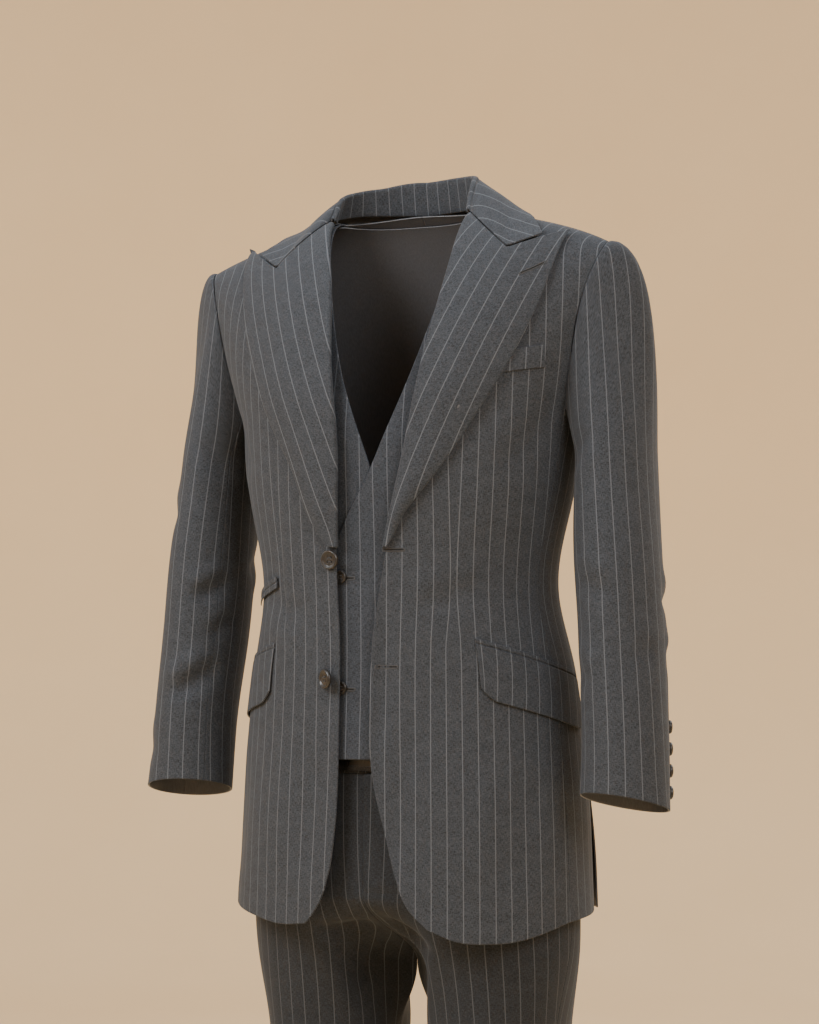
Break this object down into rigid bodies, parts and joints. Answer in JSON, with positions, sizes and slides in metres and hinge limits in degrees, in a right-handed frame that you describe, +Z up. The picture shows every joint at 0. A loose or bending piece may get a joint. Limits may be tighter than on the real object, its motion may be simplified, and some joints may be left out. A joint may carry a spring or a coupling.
{
  "type": "three-piece suit",
  "caption": "Pinstripe three-piece suit, worn and hollow: open peak-lapel jacket with flap pockets, V-neck waistcoat, flat-front trousers and belt.",
  "frame": {"origin": "middle of the neck opening, level with the top of the jacket's collar", "axes": "+Z up along the body, -Y out of the front, +X to the wearer's left; the garment's upright length is its longest extent"},
  "size_m": [0.6196, 0.2694, 1.541],
  "materials": {
    "jacket_wool": "matte worsted wool with a fine light pinstripe",
    "waistcoat_wool": "matte worsted wool with a fine light pinstripe",
    "trousers_wool": "matte worsted wool with a fine light pinstripe",
    "horn": "polished dark horn",
    "leather": "smooth black, slightly glossy",
    "buckle": "blackened metal"
  },
  "bodies": {
    "root": {"belt_buckle": "buckle", "belt_strap": "leather", "cuff_button_1_left": "horn", "cuff_button_1_right": "horn", "cuff_button_2_left": "horn", "cuff_button_2_right": "horn", "cuff_button_3_left": "horn", "cuff_button_3_right": "horn", "cuff_button_4_left": "horn", "cuff_button_4_right": "horn", "jacket_back_left": "jacket_wool", "jacket_back_right": "jacket_wool", "jacket_breast_welt": "jacket_wool", "jacket_button_lower": "horn", "jacket_button_upper": "horn", "jacket_collar": "jacket_wool", "jacket_flap_left": "jacket_wool", "jacket_flap_right": "jacket_wool", "jacket_front_left": "jacket_wool", "jacket_front_right": "jacket_wool", "jacket_jet_left": "jacket_wool", "jacket_jet_right": "jacket_wool", "jacket_lapel_left": "jacket_wool", "jacket_lapel_right": "jacket_wool", "jacket_side_left": "jacket_wool", "jacket_side_right": "jacket_wool", "jacket_sleeve_top_left": "jacket_wool", "jacket_sleeve_top_right": "jacket_wool", "jacket_sleeve_under_left": "jacket_wool", "jacket_sleeve_under_right": "jacket_wool", "jacket_ticket_jets": "jacket_wool", "trousers_back_left": "trousers_wool", "trousers_back_right": "trousers_wool", "trousers_fly": "trousers_wool", "trousers_front_left": "trousers_wool", "trousers_front_right": "trousers_wool", "trousers_waistband": "trousers_wool", "waistcoat_back": "waistcoat_wool", "waistcoat_button_lower": "horn", "waistcoat_button_upper": "horn", "waistcoat_front_left": "waistcoat_wool", "waistcoat_front_right": "waistcoat_wool"}
  },
  "joints": []
}
